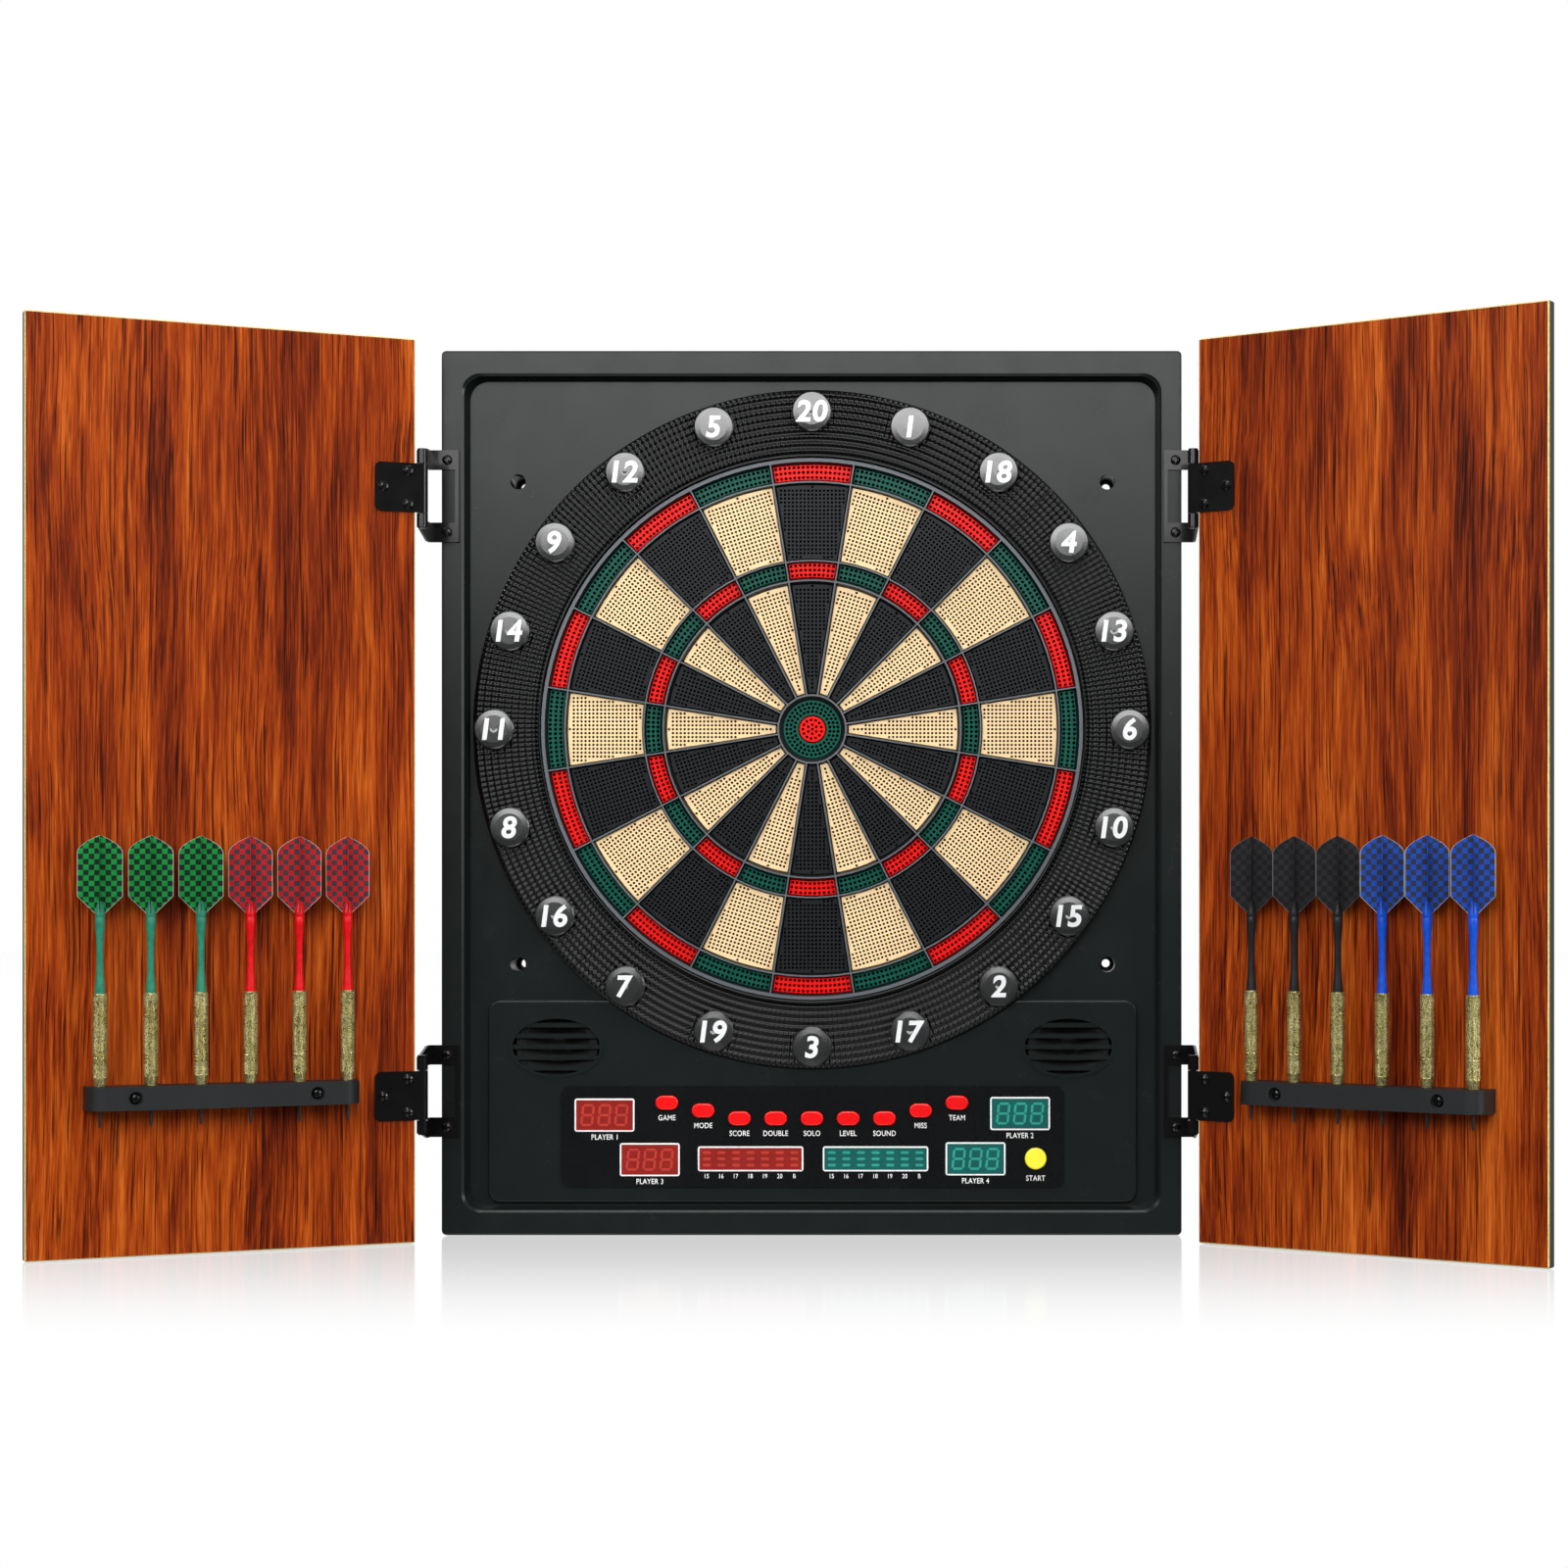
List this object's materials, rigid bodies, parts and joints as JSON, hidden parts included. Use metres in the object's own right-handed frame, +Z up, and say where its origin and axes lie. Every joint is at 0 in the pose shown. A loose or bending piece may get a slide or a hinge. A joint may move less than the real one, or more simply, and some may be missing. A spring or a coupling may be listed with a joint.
{
  "type": "electronic dartboard",
  "caption": "Wall-mounted electronic dartboard in a shallow case with two hinged wood doors, dart racks with soft-tip darts, scoring segments, displays and buttons.",
  "frame": {"origin": "on the rear face, which lies on the wall, where the axis of the bull meets it", "axes": "+Z up, front faces -Y, +Y into the wall, +X to the viewer's right"},
  "size_m": [0.9039, 0.2201, 0.564],
  "materials": {
    "case_plastic": "satin",
    "spider_plastic": "satin",
    "ring_plastic": "gloss",
    "disc_plastic": "gloss",
    "pad_rubber": "matte",
    "keypad_rubber": "matte",
    "sheet_film": "satin",
    "hardboard": "matte",
    "plate_plastic": "satin",
    "window_red": "gloss",
    "window_green": "gloss",
    "circuit": "satin",
    "speaker_steel": "satin",
    "jack_plastic": "satin",
    "zinc_screw": "satin",
    "hinge_steel": "gloss",
    "black_screw": "gloss",
    "segment_black": "satin",
    "segment_cream": "satin",
    "segment_red": "satin",
    "segment_green": "satin",
    "button_red": "gloss",
    "button_yellow": "gloss",
    "door_wood": "satin",
    "holder_plastic": "satin",
    "dart_brass": "polished"
  },
  "bodies": {
    "case": {"backing_plate": "hardboard", "bracket_screws": "black_screw", "catch_ring": "ring_plastic", "circuit_board": "circuit", "control_plate": "plate_plastic", "dc_jack": "jack_plastic", "front_shell": "case_plastic", "hinge_brackets": "hinge_steel", "hinge_pins": "hinge_steel", "inner_screws": "zinc_screw", "keypad": "keypad_rubber", "number_discs": "disc_plastic", "rear_shell": "case_plastic", "rubber_mat": "pad_rubber", "sensor_sheet": "sheet_film", "speakers": "speaker_steel", "spider": "spider_plastic", "windows_green": "window_green", "windows_red": "window_red"},
    "door_left": {"door_left": "door_wood", "hinge_leaves_left": "hinge_steel", "dart_holder_left": "holder_plastic", "door_screws_left": "black_screw"},
    "door_right": {"door_right": "door_wood", "hinge_leaves_right": "hinge_steel", "dart_holder_right": "holder_plastic", "door_screws_right": "black_screw"},
    "inner_singles_black_body": {"inner_singles_black": "segment_black"},
    "inner_singles_cream_body": {"inner_singles_cream": "segment_cream"},
    "outer_singles_black_body": {"outer_singles_black": "segment_black"},
    "outer_singles_cream_body": {"outer_singles_cream": "segment_cream"},
    "triples_red_body": {"triples_red": "segment_red"},
    "triples_green_body": {"triples_green": "segment_green"},
    "doubles_red_body": {"doubles_red": "segment_red"},
    "doubles_green_body": {"doubles_green": "segment_green"},
    "bull_outer_body": {"bull_outer": "segment_green"},
    "bull_inner_body": {"bull_inner": "segment_red"},
    "button_double_body": {"button_double": "button_red"},
    "button_game_body": {"button_game": "button_red"},
    "button_level_body": {"button_level": "button_red"},
    "button_miss_body": {"button_miss": "button_red"},
    "button_mode_body": {"button_mode": "button_red"},
    "button_score_body": {"button_score": "button_red"},
    "button_solo_body": {"button_solo": "button_red"},
    "button_sound_body": {"button_sound": "button_red"},
    "button_start_body": {"button_start": "button_yellow"},
    "button_team_body": {"button_team": "button_red"},
    "dart_left_1_body": {"dart_left_1": "dart_brass"},
    "dart_left_2_body": {"dart_left_2": "dart_brass"},
    "dart_left_3_body": {"dart_left_3": "dart_brass"},
    "dart_left_4_body": {"dart_left_4": "dart_brass"},
    "dart_left_5_body": {"dart_left_5": "dart_brass"},
    "dart_left_6_body": {"dart_left_6": "dart_brass"},
    "dart_right_1_body": {"dart_right_1": "dart_brass"},
    "dart_right_2_body": {"dart_right_2": "dart_brass"},
    "dart_right_3_body": {"dart_right_3": "dart_brass"},
    "dart_right_4_body": {"dart_right_4": "dart_brass"},
    "dart_right_5_body": {"dart_right_5": "dart_brass"},
    "dart_right_6_body": {"dart_right_6": "dart_brass"}
  },
  "joints": [
    {"name": "door_left_hinge", "type": "hinge", "parent": "case", "child": "door_left", "pos_m": [-0.241, -0.0833, 0], "axis": [0, 0, 1], "range_deg": [-25, 155]},
    {"name": "door_right_hinge", "type": "hinge", "parent": "case", "child": "door_right", "pos_m": [0.241, -0.0833, 0], "axis": [0, 0, -1], "range_deg": [-33.5, 146.5]},
    {"name": "inner_singles_black_press", "type": "slide", "parent": "case", "child": "inner_singles_black_body", "axis": [0, 1, 0], "range_m": [0, 0.0012], "stiffness_N_per_m": 500},
    {"name": "inner_singles_cream_press", "type": "slide", "parent": "case", "child": "inner_singles_cream_body", "axis": [0, 1, 0], "range_m": [0, 0.0012], "stiffness_N_per_m": 500},
    {"name": "outer_singles_black_press", "type": "slide", "parent": "case", "child": "outer_singles_black_body", "axis": [0, 1, 0], "range_m": [0, 0.0012], "stiffness_N_per_m": 500},
    {"name": "outer_singles_cream_press", "type": "slide", "parent": "case", "child": "outer_singles_cream_body", "axis": [0, 1, 0], "range_m": [0, 0.0012], "stiffness_N_per_m": 500},
    {"name": "triples_red_press", "type": "slide", "parent": "case", "child": "triples_red_body", "axis": [0, 1, 0], "range_m": [0, 0.0012], "stiffness_N_per_m": 500},
    {"name": "triples_green_press", "type": "slide", "parent": "case", "child": "triples_green_body", "axis": [0, 1, 0], "range_m": [0, 0.0012], "stiffness_N_per_m": 500},
    {"name": "doubles_red_press", "type": "slide", "parent": "case", "child": "doubles_red_body", "axis": [0, 1, 0], "range_m": [0, 0.0012], "stiffness_N_per_m": 500},
    {"name": "doubles_green_press", "type": "slide", "parent": "case", "child": "doubles_green_body", "axis": [0, 1, 0], "range_m": [0, 0.0012], "stiffness_N_per_m": 500},
    {"name": "bull_outer_press", "type": "slide", "parent": "case", "child": "bull_outer_body", "axis": [0, 1, 0], "range_m": [0, 0.0012], "stiffness_N_per_m": 500},
    {"name": "bull_inner_press", "type": "slide", "parent": "case", "child": "bull_inner_body", "axis": [0, 1, 0], "range_m": [0, 0.0012], "stiffness_N_per_m": 500},
    {"name": "button_double_press", "type": "slide", "parent": "case", "child": "button_double_body", "axis": [0, 1, 0], "range_m": [0, 0.0015], "stiffness_N_per_m": 400},
    {"name": "button_game_press", "type": "slide", "parent": "case", "child": "button_game_body", "axis": [0, 1, 0], "range_m": [0, 0.0015], "stiffness_N_per_m": 400},
    {"name": "button_level_press", "type": "slide", "parent": "case", "child": "button_level_body", "axis": [0, 1, 0], "range_m": [0, 0.0015], "stiffness_N_per_m": 400},
    {"name": "button_miss_press", "type": "slide", "parent": "case", "child": "button_miss_body", "axis": [0, 1, 0], "range_m": [0, 0.0015], "stiffness_N_per_m": 400},
    {"name": "button_mode_press", "type": "slide", "parent": "case", "child": "button_mode_body", "axis": [0, 1, 0], "range_m": [0, 0.0015], "stiffness_N_per_m": 400},
    {"name": "button_score_press", "type": "slide", "parent": "case", "child": "button_score_body", "axis": [0, 1, 0], "range_m": [0, 0.0015], "stiffness_N_per_m": 400},
    {"name": "button_solo_press", "type": "slide", "parent": "case", "child": "button_solo_body", "axis": [0, 1, 0], "range_m": [0, 0.0015], "stiffness_N_per_m": 400},
    {"name": "button_sound_press", "type": "slide", "parent": "case", "child": "button_sound_body", "axis": [0, 1, 0], "range_m": [0, 0.0015], "stiffness_N_per_m": 400},
    {"name": "button_start_press", "type": "slide", "parent": "case", "child": "button_start_body", "axis": [0, 1, 0], "range_m": [0, 0.0015], "stiffness_N_per_m": 400},
    {"name": "button_team_press", "type": "slide", "parent": "case", "child": "button_team_body", "axis": [0, 1, 0], "range_m": [0, 0.0015], "stiffness_N_per_m": 400},
    {"name": "dart_left_1_lift", "type": "slide", "parent": "door_left", "child": "dart_left_1_body", "axis": [0, 0, 1], "range_m": [0, 0.045]},
    {"name": "dart_left_2_lift", "type": "slide", "parent": "door_left", "child": "dart_left_2_body", "axis": [0, 0, 1], "range_m": [0, 0.045]},
    {"name": "dart_left_3_lift", "type": "slide", "parent": "door_left", "child": "dart_left_3_body", "axis": [0, 0, 1], "range_m": [0, 0.045]},
    {"name": "dart_left_4_lift", "type": "slide", "parent": "door_left", "child": "dart_left_4_body", "axis": [0, 0, 1], "range_m": [0, 0.045]},
    {"name": "dart_left_5_lift", "type": "slide", "parent": "door_left", "child": "dart_left_5_body", "axis": [0, 0, 1], "range_m": [0, 0.045]},
    {"name": "dart_left_6_lift", "type": "slide", "parent": "door_left", "child": "dart_left_6_body", "axis": [0, 0, 1], "range_m": [0, 0.045]},
    {"name": "dart_right_1_lift", "type": "slide", "parent": "door_right", "child": "dart_right_1_body", "axis": [0, 0, 1], "range_m": [0, 0.045]},
    {"name": "dart_right_2_lift", "type": "slide", "parent": "door_right", "child": "dart_right_2_body", "axis": [0, 0, 1], "range_m": [0, 0.045]},
    {"name": "dart_right_3_lift", "type": "slide", "parent": "door_right", "child": "dart_right_3_body", "axis": [0, 0, 1], "range_m": [0, 0.045]},
    {"name": "dart_right_4_lift", "type": "slide", "parent": "door_right", "child": "dart_right_4_body", "axis": [0, 0, 1], "range_m": [0, 0.045]},
    {"name": "dart_right_5_lift", "type": "slide", "parent": "door_right", "child": "dart_right_5_body", "axis": [0, 0, 1], "range_m": [0, 0.045]},
    {"name": "dart_right_6_lift", "type": "slide", "parent": "door_right", "child": "dart_right_6_body", "axis": [0, 0, 1], "range_m": [0, 0.045]}
  ]
}
